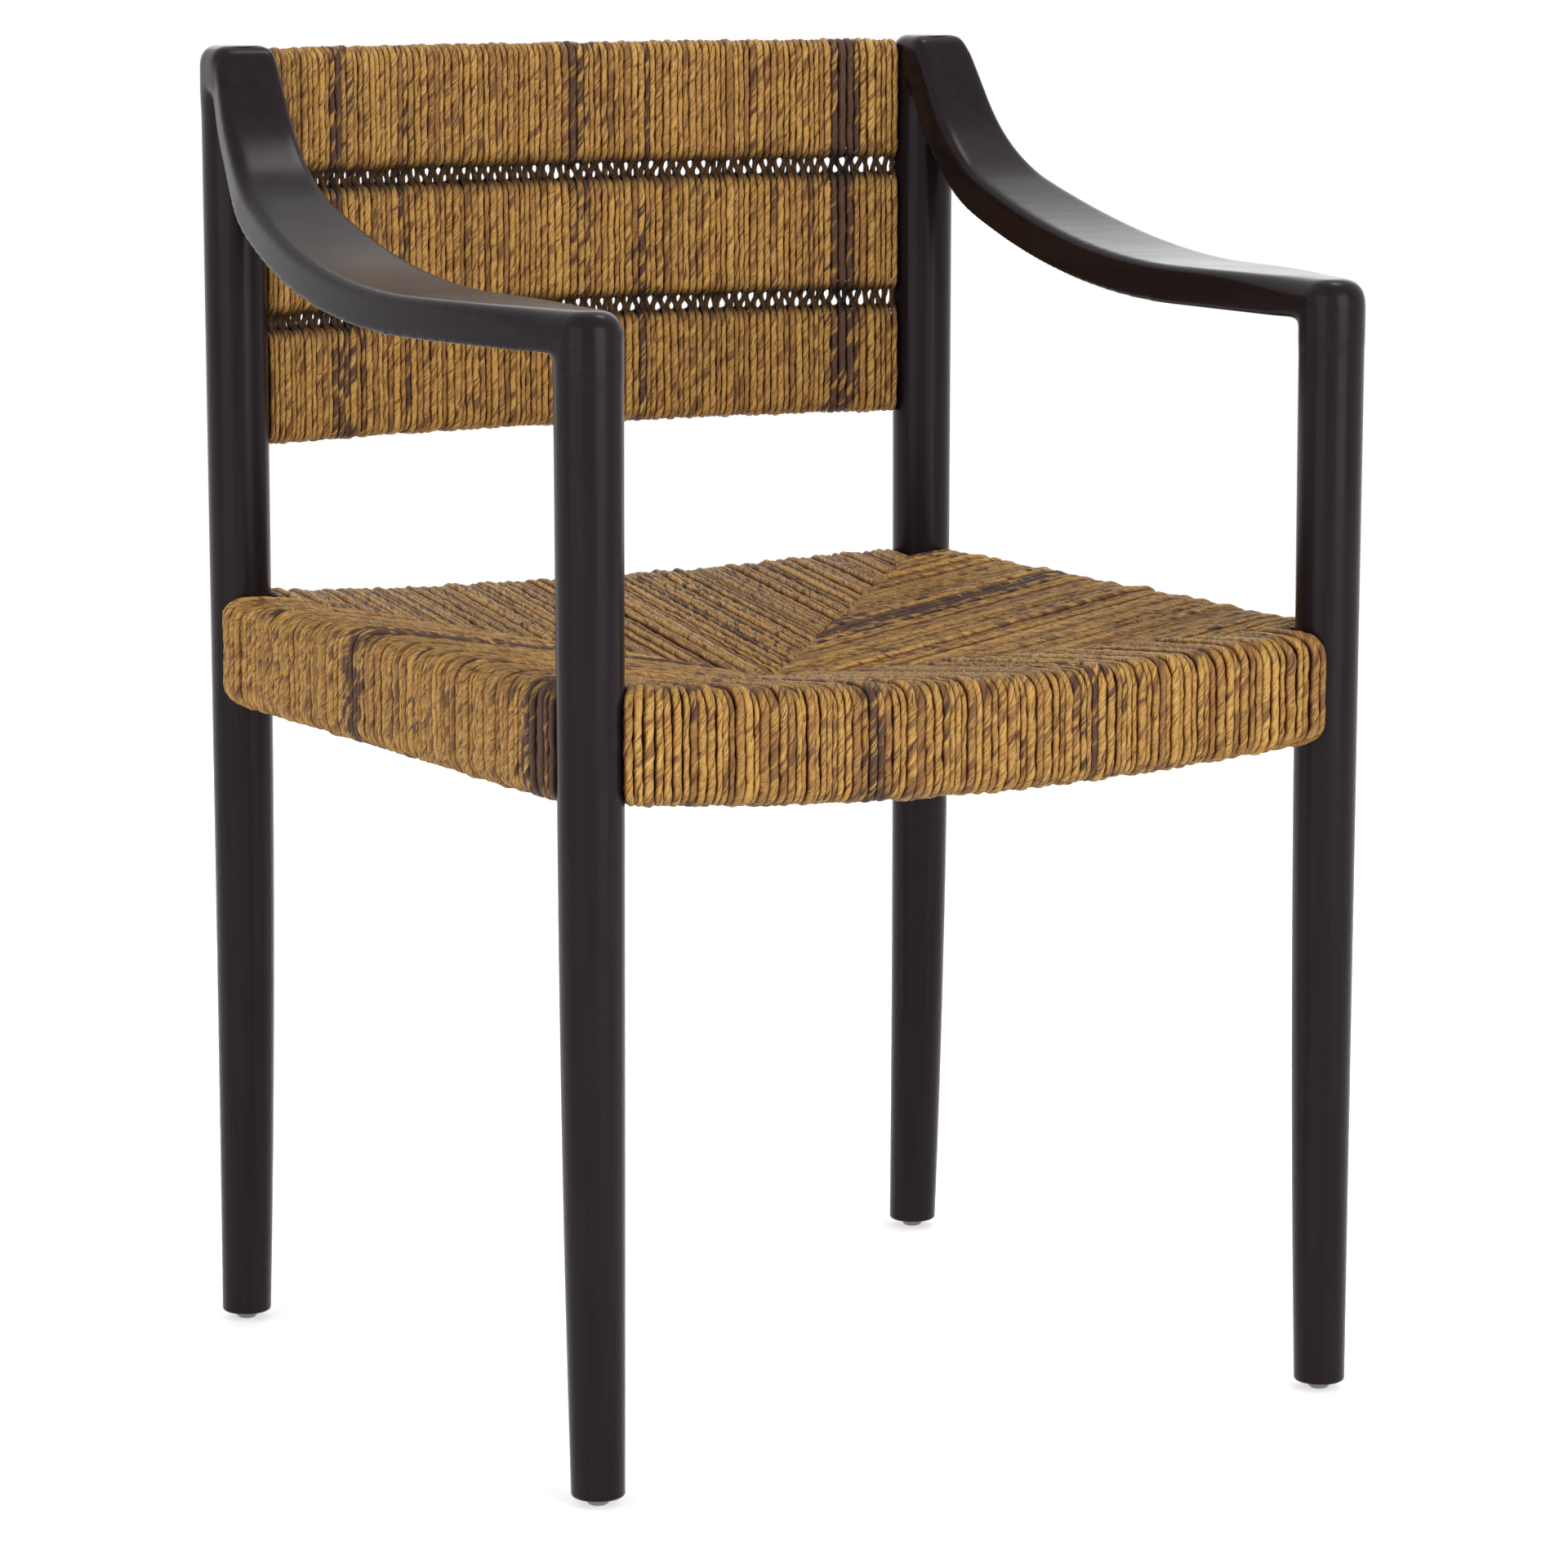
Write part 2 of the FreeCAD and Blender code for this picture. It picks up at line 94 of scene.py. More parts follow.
def lacquer(name, axis):
    """Satin lacquer over wood with its grain along an axis: near black, a little uneven in tone and gloss.

    The pores are drawn about five times coarser than real ones, which would be too fine to show.
    """
    material, tree, shader = new_material(name)
    place = node(tree, "ShaderNodeTexCoord").outputs["Object"]
    grain = [grain_width / grain_length if way == axis else 1.0 for way in range(3)]
    along = node(tree, "ShaderNodeMapping", {"Vector": place, "Scale": grain}).outputs[0]
    streaks = node(tree, "ShaderNodeTexNoise", {
        "Vector": along, "Scale": 1 / grain_width, "Detail": 4.0}).outputs[0]
    tone = node(tree, "ShaderNodeValToRGB", {"Fac": streaks}, stops=((0.3, "161013"), (0.72, "20191c")))
    tree.links.new(tone.outputs[0], shader.inputs["Base Color"])
    cloud = node(tree, "ShaderNodeTexNoise", {
        "Vector": place, "Scale": 1 / gloss_cloud, "Detail": 3.0}).outputs[0]
    gloss = node(tree, "ShaderNodeMapRange", {"Value": cloud, "To Min": 0.2, "To Max": 0.3})
    tree.links.new(gloss.outputs[0], shader.inputs["Roughness"])
    shader.inputs["Specular IOR Level"].default_value = 0.15
    shader.inputs["Specular Tint"].default_value = linear("ffeef8")
    pores = node(tree, "ShaderNodeTexNoise", {
        "Vector": along, "Scale": 1 / pore_width, "Detail": 2.0}).outputs[0]
    bump = node(tree, "ShaderNodeBump", {"Height": pores, "Strength": 0.08, "Distance": 0.0004})
    tree.links.new(bump.outputs[0], shader.inputs["Normal"])
    return material


def paint(names, material):
    """Gives CAD nodes a material."""
    for name in names:
        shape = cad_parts[name]
        shape.data.materials.clear()
        shape.data.materials.append(material)


sides = ("left", "right")
upright_lacquer = lacquer("lacquered_hardwood_upright", 2)
paint(["front_leg_" + side for side in sides] + ["rear_post_" + side for side in sides], upright_lacquer)


# Armrests: boards of the same lacquered hardwood, swept up to the posts. The CAD form is taken with the
# tops of its leg and post, and its joints, nose and head are worked smooth, as sanded before lacquering.
arm_lacquer = lacquer("lacquered_hardwood_arm", 1)
turned_steps = 64


def lathe(build, x, y, profile):
    """Adds a closed turned shape about a vertical axis from its (radius, height) profile."""
    rings = []
    for radius, height in profile:
        turns = [2 * math.pi * i / turned_steps for i in range(turned_steps)]
        ring = [(x + radius * math.cos(t), y + radius * math.sin(t), height) for t in turns]
        rings.append([build.verts.new(place) for place in ring])
    for low, high in zip(rings, rings[1:]):
        for i in range(turned_steps):
            build.faces.new((low[i], low[i - 1], high[i - 1], high[i]))
    build.faces.new(rings[0])
    build.faces.new(rings[-1][::-1])
    bmesh.ops.recalc_face_normals(build, faces=build.faces)


def round_over(at, edge, top, inward, radius):
    """Moves a point beside a top edge onto a rounding: edge is its way from the side, inward points in."""
    across = radius - edge
    up = at.z - top + radius
    reach = math.hypot(across, up)
    if across > 0 and up > 0 and reach > radius:
        at += inward * (across - across * radius / reach)
        at.z = top - radius + up * radius / reach


def fade(value, start, finish):
    """0 before start, 1 after finish and a smooth change between them."""
    part = min(1.0, max(0.0, (value - start) / (finish - start)))
    return part * part * (3 - 2 * part)


head_slope = 61.0
sweep_slope = 23.0
bend_rise = 0.058
bend_cut = 0.06
bend_eased = 0.125
bend_fade = (0.026, 0.034)


def ease_bend(at, corner):
    """Moves a point of the arm from the CAD's bend onto an easier one between the same two runs."""
    half = math.radians(head_slope - sweep_slope) / 2
    middle = math.radians(head_slope + sweep_slope) / 2
    run = Vector((math.cos(middle), math.sin(middle)))
    rise = Vector((-run.y, run.x))
    place = at.yz - corner
    along = abs(place.dot(run))
    drop = bend_cut / math.cos(half) - place.dot(rise)
    swung = math.atan2(along, drop)
    travel = bend_cut * swung
    below = math.hypot(along, drop) - bend_cut
    if swung > half:
        travel = bend_cut * half + along * math.cos(half) - drop * math.sin(half)
        below = along * math.sin(half) + drop * math.cos(half) - bend_cut
    limit = bend_cut * half + (bend_eased - bend_cut) * math.tan(half)
    if travel < limit:
        swung = math.copysign(half * travel / limit, place.dot(run))
        reach = bend_eased + below
        moved = run * reach * math.sin(swung)
        moved += rise * (bend_eased / math.cos(half) - reach * math.cos(swung))
        at.yz = corner + place.lerp(moved, 1 - fade(below, *bend_fade))


post_radius = 0.01975
head_round = 0.011
nose_round = 0.0135
edge_round = 0.0055
brow_round = 0.015
sanded_off = 0.0008
head_reach = 0.0225
head_side = post_radius + 0.0006
head_front = 0.0205
head_front_side = 0.0225
head_depth = 0.027
skin = 0.0002
leg_offset = 0.2505
leg_spacing = 0.471
arm_thickness = 0.02415
# Collars that blend leg and post into the arm, as (past the radius, height from arm or head).
leg_collar = ((-0.0006, -0.034), (0.0003, -0.012), (0.0003, 0.01))
post_collar = ((-0.0006, -0.062), (0.0006, -0.03))
# Where nose, head and sweep are sanded most, as the start and end of a fade.
nose_fade = (0.018, 0.038)
nose_run = 0.1
head_fade = (-0.034, -0.018)
sweep_fade = (0.02, 0.06)
sandings = (("", 9), ("worked", 36))
weld_size = 0.0013
for side in sides:
    arm_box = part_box("armrest_" + side)
    leg_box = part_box("front_leg_" + side)
    post_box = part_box("rear_post_" + side)
    leg_x = leg_offset if side == "left" else -leg_offset
    front_y = arm_box[0].y + post_radius
    rear_y = front_y + leg_spacing
    out_x = Vector((math.copysign(1.0, leg_x), 0, 0))
    arm_under = leg_box[1].z
    head_top = post_box[1].z
    head_rough = head_top + sanded_off
    build = bmesh.new()
    build.from_mesh(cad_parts["armrest_" + side].data)
    bmesh.ops.remove_doubles(build, verts=build.verts, dist=0.00001)
    for dowels in ("front_arm_dowels", "rear_arm_dowels"):
        build.from_mesh(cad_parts[dowels].data)
    other = [v for v in build.verts if v.co.x * leg_x < 0]
    bmesh.ops.delete(build, geom=other, context="VERTS")
    lathe(build, leg_x, front_y, [(post_radius + past, arm_under + z) for past, z in leg_collar])
    crown = [math.radians(90 * i / 6) for i in range(7)]
    lathe(build, leg_x, rear_y, [(post_radius + past, head_top + z) for past, z in post_collar] + [
        (head_side - head_round * (1 - math.cos(t)), head_rough - head_round * (1 - math.sin(t)))
        for t in crown])
    ends = []
    for y, outer in ((rear_y - head_front, head_front_side), (rear_y, head_side)):
        half = [(1, head_top - head_depth)] + [
            (1 - head_round / outer * (1 - math.cos(t)), head_rough - head_round * (1 - math.sin(t)))
            for t in crown]
        edge = [(-head_side * across, z) for across, z in half]
        edge += [(outer * across, z) for across, z in reversed(half)]
        ends.append([build.verts.new((leg_x + out_x.x * x, y, z)) for x, z in edge])
    for i in range(len(ends[0])):
        build.faces.new((ends[0][i - 1], ends[0][i], ends[1][i], ends[1][i - 1]))
    build.faces.new(ends[0])
    build.faces.new(ends[1][::-1])
    bmesh.ops.recalc_face_normals(build, faces=build.faces)
    mesh = bpy.data.meshes.new("arm_" + side)
    build.to_mesh(mesh)
    build.free()
    arm = bpy.data.objects.new("arm_" + side, mesh)
    bpy.context.scene.collection.objects.link(arm)
    weld = arm.modifiers.new("weld", "REMESH")
    weld.mode = "VOXEL"
    weld.voxel_size = weld_size
    welded = bpy.data.meshes.new_from_object(arm.evaluated_get(bpy.context.evaluated_depsgraph_get()))
    arm.modifiers.clear()
    arm.data = welded
    arm_top = arm_under + arm_thickness
    lean = math.radians(head_slope)
    brow = Vector((0, rear_y - head_reach + brow_round * math.tan(lean / 2), head_rough - brow_round))
    bend_z = arm_top + bend_rise
    bend = Vector((rear_y - head_reach - (head_top - bend_z) / math.tan(lean), bend_z))
    outer_edge = {}
    for vertex in welded.vertices:
        slot_y = round(vertex.co.y, 3)
        outer_edge[slot_y] = max(outer_edge.get(slot_y, 0.0), abs(vertex.co.x))
    worked = arm.vertex_groups.new(name="worked")
    for vertex in welded.vertices:
        at = vertex.co
        ease_bend(at, bend)
        nose = 1 - fade(at.y, front_y + nose_fade[0], front_y + nose_fade[1])
        head = fade(at.z, head_top + head_fade[0], head_top + head_fade[1])
        sweep = 0.8 * fade(at.z, arm_top + sweep_fade[0], arm_top + sweep_fade[1])
        worked.add([vertex.index], max(0.5 * nose, head, sweep), "REPLACE")
        from_brow = Vector((0, at.y, at.z)) - brow
        bearing = math.degrees(math.atan2(from_brow.z, from_brow.y))
        if 90 < bearing < 90 + head_slope and from_brow.length > brow_round:
            at.yz = (brow + from_brow.normalized() * brow_round).yz
        if at.y < front_y:
            plan = Vector((at.x - leg_x, at.y - front_y, 0))
            round_over(at, post_radius - plan.length, arm_top, -plan.normalized(), nose_round)
        elif at.y < front_y + nose_run:
            radius = nose_round + (edge_round - nose_round) * fade(at.y, front_y, front_y + nose_run)
            round_over(at, outer_edge[round(at.y, 3)] - abs(at.x), arm_top, -out_x, radius)
            round_over(at, abs(at.x) - abs(leg_x) + post_radius, arm_top, out_x, radius)
    for group, times in sandings:
        sanding = arm.modifiers.new("sanding", "SMOOTH")
        sanding.factor = 0.5
        sanding.iterations = times
        sanding.vertex_group = group
    smooth = bpy.data.meshes.new_from_object(arm.evaluated_get(bpy.context.evaluated_depsgraph_get()))
    arm.modifiers.clear()
    arm.vertex_groups.clear()
    arm.data = smooth
    facing_up = [vertex.normal.z > 0.2 for vertex in smooth.vertices]
    for vertex, faces_up in zip(smooth.vertices, facing_up):
        from_post = math.hypot(vertex.co.x - leg_x, vertex.co.y - rear_y)
        if faces_up and from_post < post_radius and vertex.co.z > head_top - head_round:
            shoulder = max(0.0, from_post - post_radius + head_round)
            crown_z = head_top - head_round + math.sqrt(head_round ** 2 - shoulder ** 2)
            vertex.co.z = max(vertex.co.z, crown_z + skin)
        vertex.co.z = min(vertex.co.z, head_top + skin)
    smooth.materials.clear()
    smooth.materials.append(arm_lacquer)
    smooth.polygons.foreach_set("use_smooth", [True] * len(smooth.polygons))
    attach(arm, "root")
    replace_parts(arm, "armrest_" + side)


# Glides and nails: a grey moulded plastic dome under each foot, held by a steel nail. They are the CAD
# shapes. The plastic is dull, lets a little light in and has a fine grit from its mould, drawn coarser
# than the real one, which would be too fine to show.
grit_width = 0.0011
glide_plastic, tree, shader = new_material("grey_glide_plastic")
shader.inputs["Base Color"].default_value = linear("9a9998")
shader.inputs["Roughness"].default_value = 0.38
shader.inputs["Subsurface Weight"].default_value = 0.2
shader.inputs["Subsurface Radius"].default_value = (0.002, 0.002, 0.002)
grit = node(tree, "ShaderNodeTexNoise", {
    "Vector": node(tree, "ShaderNodeTexCoord").outputs["Object"], "Scale": 1 / grit_width, "Detail": 2.0})
scuff = node(tree, "ShaderNodeBump", {"Height": grit.outputs[0], "Strength": 0.1, "Distance": 0.0002})
tree.links.new(scuff.outputs[0], shader.inputs["Normal"])
paint(["foot_glide_" + end + "_" + side for end in ("front", "rear") for side in sides], glide_plastic)

# Drawn steel wire with a cold-headed end: a plain bright grey metal with a soft gloss.
nail_steel, tree, shader = new_material("bright_nail_steel")
shader.inputs["Base Color"].default_value = linear("c4c3c0")
shader.inputs["Metallic"].default_value = 1.0
shader.inputs["Roughness"].default_value = 0.3
paint(["glide_nails"], nail_steel)


# Rails, slats and dowels: bars, bent slats and pins of bare hardwood, set in mortises under the cord. At
# most a glimpse of them shows between its turns; the wood is painted dark, as the shade in those gaps, and
# dull with a faint cloudy figure.
figure_width = 0.008
bare_wood, tree, shader = new_material("bare_hardwood")
place = node(tree, "ShaderNodeTexCoord").outputs["Object"]
figure = node(tree, "ShaderNodeTexNoise", {"Vector": place, "Scale": 1 / figure_width, "Detail": 4.0})
tone = node(tree, "ShaderNodeValToRGB", {"Fac": figure.outputs[0]}, stops=(
    (0.3, "3a2512"), (0.7, "54381d")))
tree.links.new(tone.outputs[0], shader.inputs["Base Color"])
shader.inputs["Roughness"].default_value = 0.8
hidden_wood = [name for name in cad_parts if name.endswith(("_seat_rail", "_back_slat", "_dowels"))]
paint(hidden_wood, bare_wood)


# Cord: twisted plant-fibre rope, golden tan with straw, brown and purple-brown lengths. Each piece of
# cord is swept along its path, uneven in thickness and with a shallow groove that winds round it.

# Dried plant fibre twisted by hand: dull, streaked along its twist, with flecks and stains. Its folds, the
# crevices between cords and the cords that lie low or go in between others are painted darker, as shade.
# The streaks are drawn wider than single fibres, which would be too fine to show.
cord_fibre, tree, shader = new_material("twisted_plant_fibre_cord")
along = node(tree, "ShaderNodeAttribute", attribute_name="cord_along").outputs["Fac"]
turn = node(tree, "ShaderNodeAttribute", attribute_name="cord_turn").outputs["Vector"]
painted_shade_amount = node(tree, "ShaderNodeAttribute", attribute_name="painted_shade_amount").outputs["Fac"]
touching = node(tree, "ShaderNodeAttribute", attribute_name="cord_side").outputs["Fac"]
cord_radius = 0.0024


def cord_marks(wide, long, detail, roughness):
    """Noise that winds round the cord, in marks of about a width and a length in metres."""
    rise = node(cord_fibre.node_tree, "ShaderNodeMath", {0: along, 1: long}, operation="DIVIDE").outputs[0]
    rise = node(cord_fibre.node_tree, "ShaderNodeCombineXYZ", {"Z": rise}).outputs[0]
    place = node(cord_fibre.node_tree, "ShaderNodeVectorMath", {
        0: turn, 1: [cord_radius / wide] * 2 + [0.0], 2: rise}, operation="MULTIPLY_ADD").outputs[0]
    return node(cord_fibre.node_tree, "ShaderNodeTexNoise", {
        "Vector": place, "Scale": 1.0, "Detail": detail, "Roughness": roughness}).outputs[0]


def cord_spells(long, apart):
    """Noise along the cord alone, in spells of about a length in metres; apart makes each set its own."""
    place = node(cord_fibre.node_tree, "ShaderNodeMath", {
        0: along, 1: 1 / long, 2: apart}, operation="MULTIPLY_ADD").outputs[0]
    return node(cord_fibre.node_tree, "ShaderNodeTexNoise", {
        "W": place, "Scale": 1.0, "Detail": 1.0}, noise_dimensions="1D").outputs[0]


fibres = cord_marks(0.0008, 0.033, 6.0, 0.73)
patches = cord_marks(0.0037, 0.024, 2.0, 0.5)
flecks = cord_marks(0.0014, 0.0088, 3.0, 0.5)
dark_spells = cord_spells(4.5, 0.0)
turn_spells = cord_spells(0.29, 50.0)
tan_spells = cord_spells(0.43, 90.0)
golden = node(tree, "ShaderNodeValToRGB", {"Fac": fibres}, stops=(
    (0.26, "7f4d14"), (0.4, "bd893a"), (0.55, "d8aa59"), (0.74, "f2d69c"))).outputs[0]
tanned = node(tree, "ShaderNodeValToRGB", {"Fac": fibres}, stops=(
    (0.26, "5c320f"), (0.42, "8a5c2c"), (0.58, "a57643"), (0.76, "cba56c"))).outputs[0]
tan = node(tree, "ShaderNodeMath", {0: tan_spells, 1: 0.7}, operation="MULTIPLY").outputs[0]
mottle = node(tree, "ShaderNodeMath", {0: flecks, 1: 1.4, 2: tan}, operation="MULTIPLY_ADD").outputs[0]
pale = node(tree, "ShaderNodeMapRange", {"Value": mottle, "From Min": 0.86, "From Max": 1.1}).outputs[0]
tinted = node(tree, "ShaderNodeMix", {0: pale, 6: tanned, 7: golden}, data_type="RGBA").outputs[2]
specks = node(tree, "ShaderNodeMapRange", {"Value": flecks, "From Min": 0.575, "From Max": 0.66}).outputs[0]
flecked = node(tree, "ShaderNodeMix", {
    0: specks, 6: tinted, 7: linear("6a431b")}, data_type="RGBA").outputs[2]
stains = node(tree, "ShaderNodeMath", {
    0: turn_spells, 1: 0.5, 2: patches}, operation="MULTIPLY_ADD").outputs[0]
stains = node(tree, "ShaderNodeMapRange", {
    "Value": stains, "From Min": 0.8, "From Max": 0.9, "To Max": 0.8}).outputs[0]
flecked = node(tree, "ShaderNodeMix", {
    0: stains, 6: flecked, 7: linear("70482a")}, data_type="RGBA").outputs[2]
worn = node(tree, "ShaderNodeMath", {
    0: turn_spells, 1: 0.4, 2: dark_spells}, operation="MULTIPLY_ADD").outputs[0]
worn = node(tree, "ShaderNodeMath", {0: patches, 1: 0.6, 2: worn}, operation="MULTIPLY_ADD").outputs[0]
dark = node(tree, "ShaderNodeMapRange", {"Value": worn, "From Min": 1.14, "From Max": 1.22}).outputs[0]
bark = node(tree, "ShaderNodeValToRGB", {"Fac": fibres}, stops=(
    (0.3, "311b14"), (0.6, "60402d"), (0.76, "947047"))).outputs[0]
blotched = node(tree, "ShaderNodeMix", {0: dark, 6: flecked, 7: bark}, data_type="RGBA").outputs[2]
across = node(tree, "ShaderNodeSeparateXYZ", {"Vector": turn}).outputs["X"]
across = node(tree, "ShaderNodeMath", {0: across, 1: across}, operation="MULTIPLY").outputs[0]
frayed = node(tree, "ShaderNodeMath", {0: fibres, 1: 0.5, 2: across}, operation="MULTIPLY_ADD").outputs[0]
folds = node(tree, "ShaderNodeMapRange", {"Value": frayed, "From Min": 1.14, "From Max": 1.24}).outputs[0]
broken = node(tree, "ShaderNodeMapRange", {"Value": patches, "From Min": 0.42, "From Max": 0.56}).outputs[0]
crease = node(tree, "ShaderNodeMath", {0: folds, 1: broken}, operation="MULTIPLY").outputs[0]
# Painted shade: a thin dark line along the folds of the twist, with a groove in the bump.
lined = node(tree, "ShaderNodeMix", {
    0: crease, 6: blotched, 7: linear("4a280a")}, data_type="RGBA").outputs[2]
# Painted shade: the cord is darkened where its surface faces the next cord, as the shade in the crevice
# between them.
hollow = node(tree, "ShaderNodeMapRange", {"Value": touching, "From Min": 0.72, "From Max": 1.0}).outputs[0]
painted_shade_tint = node(tree, "ShaderNodeMix", {
    0: hollow, 6: linear("ffffff"), 7: linear("9a681f")}, data_type="RGBA").outputs[2]
# Painted shade: the cord is darkened where it lies low, goes in at the seat's diagonals or goes in between
# the back bands.
painted_shade_tint = node(tree, "ShaderNodeMix", {
    0: painted_shade_amount, 6: painted_shade_tint, 7: linear("6b6050")}, data_type="RGBA").outputs[2]
finished = node(tree, "ShaderNodeMix", {
    0: 1.0, 6: lined, 7: painted_shade_tint}, data_type="RGBA", blend_type="MULTIPLY").outputs[2]
tree.links.new(finished, shader.inputs["Base Color"])
shader.inputs["Roughness"].default_value = 0.5
shader.inputs["Specular IOR Level"].default_value = 0.35
groove = node(tree, "ShaderNodeMath", {0: crease, 1: -0.8, 2: fibres}, operation="MULTIPLY_ADD")
bump = node(tree, "ShaderNodeBump", {"Height": groove.outputs[0], "Strength": 0.75, "Distance": 0.0009})
tree.links.new(bump.outputs[0], shader.inputs["Normal"])

sway_length = 0.014
swell_length = 0.0095
slack_length = 0.022
slack_turn = 5.0
seed_apart = 7.3
twisted_cord = bpy.data.node_groups.new("twisted_cord", "GeometryNodeTree")
tree = twisted_cord
cord_inputs = (
    ("Geometry", "NodeSocketGeometry"), ("Radius", "NodeSocketFloat"), ("Step", "NodeSocketFloat"),
    ("Sides", "NodeSocketInt"), ("Unevenness", "NodeSocketFloat"), ("Wander", "NodeSocketFloat"),
    ("Twist", "NodeSocketFloat"), ("Groove", "NodeSocketFloat"), ("Seed", "NodeSocketInt"),
    ("Material", "NodeSocketMaterial"))
for name, kind in cord_inputs:
    tree.interface.new_socket(name, in_out="INPUT", socket_type=kind)
tree.interface.new_socket("Geometry", in_out="OUTPUT", socket_type="NodeSocketGeometry")
given = node(tree, "NodeGroupInput").outputs
path = node(tree, "GeometryNodeMeshToCurve", {"Mesh": given["Geometry"]}).outputs[0]
path = node(tree, "GeometryNodeResampleCurve", {
    "Curve": path, "Length": given["Step"]}, mode="LENGTH").outputs[0]
spot = node(tree, "GeometryNodeInputPosition").outputs[0]
sway = node(tree, "ShaderNodeTexNoise", {
    "Vector": spot, "Scale": 1 / sway_length, "Detail": 1.0}).outputs["Color"]
sway = node(tree, "ShaderNodeVectorMath", {0: sway, 1: (0.5, 0.5, 0.5)}, operation="SUBTRACT").outputs[0]
sway = node(tree, "ShaderNodeVectorMath", {0: sway, "Scale": given["Wander"]}, operation="SCALE").outputs[0]
path = node(tree, "GeometryNodeSetPosition", {"Geometry": path, "Offset": sway}).outputs[0]
spline = node(tree, "GeometryNodeSplineParameter").outputs
begun = node(tree, "GeometryNodeInputNamedAttribute", {"Name": "cord_start"}, data_type="FLOAT").outputs[0]
begun = node(tree, "ShaderNodeMath", {
    0: given["Seed"], 1: seed_apart, 2: begun}, operation="MULTIPLY_ADD").outputs[0]
reach = node(tree, "ShaderNodeMath", {0: spline["Length"], 1: begun}, operation="ADD").outputs[0]
point = node(tree, "GeometryNodeCaptureAttribute", domain="POINT")
point.capture_items.new("FLOAT", "along")
tree.links.new(path, point.inputs["Geometry"])
tree.links.new(reach, point.inputs["along"])
run = node(tree, "ShaderNodeMath", {0: reach, 1: swell_length}, operation="DIVIDE").outputs[0]
swell = node(tree, "ShaderNodeTexNoise", {
    "W": run, "Scale": 1.0, "Detail": 2.0}, noise_dimensions="1D").outputs[0]
swell = node(tree, "ShaderNodeMath", {0: swell, 1: 0.5}, operation="SUBTRACT").outputs[0]
swell = node(tree, "ShaderNodeMath", {
    0: swell, 1: given["Unevenness"], 2: 1.0}, operation="MULTIPLY_ADD").outputs[0]
squeeze = node(tree, "GeometryNodeInputNamedAttribute", {"Name": "squeeze"}, data_type="FLOAT").outputs[0]
swell = node(tree, "ShaderNodeMath", {0: swell, 1: squeeze}, operation="MULTIPLY").outputs[0]
thick = node(tree, "ShaderNodeMath", {0: swell, 1: given["Radius"]}, operation="MULTIPLY").outputs[0]
ring = node(tree, "GeometryNodeCurvePrimitiveCircle", {
    "Resolution": given["Sides"], "Radius": 1.0}).outputs[0]
angle = node(tree, "ShaderNodeMath", {0: spline["Factor"], 1: 2 * math.pi}, operation="MULTIPLY").outputs[0]
heading = node(tree, "ShaderNodeCombineXYZ", {
    "X": node(tree, "ShaderNodeMath", {0: angle}, operation="COSINE").outputs[0],
    "Y": node(tree, "ShaderNodeMath", {0: angle}, operation="SINE").outputs[0]}).outputs[0]
around = node(tree, "GeometryNodeCaptureAttribute", domain="POINT")
around.capture_items.new("VECTOR", "turn")
tree.links.new(ring, around.inputs["Geometry"])
tree.links.new(heading, around.inputs["turn"])
tube = node(tree, "GeometryNodeCurveToMesh", {
    "Curve": point.outputs["Geometry"], "Profile Curve": around.outputs["Geometry"], "Scale": thick,
    "Fill Caps": True}).outputs[0]
pitch = node(tree, "ShaderNodeMath", {0: 2 * math.pi, 1: given["Twist"]}, operation="DIVIDE").outputs[0]
slack = node(tree, "ShaderNodeMath", {
    0: point.outputs["along"], 1: slack_length}, operation="DIVIDE").outputs[0]
slack = node(tree, "ShaderNodeTexNoise", {"W": slack, "Scale": 1.0}, noise_dimensions="1D").outputs[0]
slack = node(tree, "ShaderNodeMath", {0: slack, 1: slack_turn}, operation="MULTIPLY").outputs[0]
wound = node(tree, "ShaderNodeMath", {
    0: point.outputs["along"], 1: pitch, 2: slack}, operation="MULTIPLY_ADD").outputs[0]
spun = node(tree, "ShaderNodeVectorRotate", {
    "Vector": around.outputs["turn"], "Angle": wound}, rotation_type="Z_AXIS").outputs[0]
facing = node(tree, "ShaderNodeSeparateXYZ", {"Vector": spun}).outputs["X"]
facing = node(tree, "ShaderNodeMath", {0: facing}, operation="ABSOLUTE").outputs[0]
cut = node(tree, "ShaderNodeMapRange", {"Value": facing, "From Min": 0.7, "From Max": 1.0}).outputs[0]
cut = node(tree, "ShaderNodeMath", {0: cut, 1: given["Groove"]}, operation="MULTIPLY").outputs[0]
inward = node(tree, "ShaderNodeMath", {0: cut, 1: -1.0}, operation="MULTIPLY").outputs[0]
normal = node(tree, "GeometryNodeInputNormal").outputs[0]
beside = node(tree, "GeometryNodeInputNamedAttribute", {
    "Name": "beside"}, data_type="FLOAT_VECTOR").outputs[0]
aside = node(tree, "ShaderNodeVectorMath", {0: normal, 1: beside}, operation="DOT_PRODUCT").outputs["Value"]
aside = node(tree, "ShaderNodeMath", {0: aside}, operation="ABSOLUTE").outputs[0]
push = node(tree, "ShaderNodeVectorMath", {0: normal, "Scale": inward}, operation="SCALE").outputs[0]
tube = node(tree, "GeometryNodeSetPosition", {"Geometry": tube, "Offset": push}).outputs[0]
stored = (("cord_along", "FLOAT", point.outputs["along"]), ("cord_turn", "FLOAT_VECTOR", spun),
          ("cord_side", "FLOAT", aside))
for name, kind, value in stored:
    tube = node(tree, "GeometryNodeStoreNamedAttribute", {"Geometry": tube, "Name": name, "Value": value},
                data_type=kind, domain="POINT").outputs[0]
tube = node(tree, "GeometryNodeSetShadeSmooth", {"Geometry": tube}).outputs[0]
tube = node(tree, "GeometryNodeRealizeInstances", {"Geometry": tube}).outputs[0]
tube = node(tree, "GeometryNodeSetMaterial", {"Geometry": tube, "Material": given["Material"]}).outputs[0]
node(tree, "NodeGroupOutput", {"Geometry": tube})


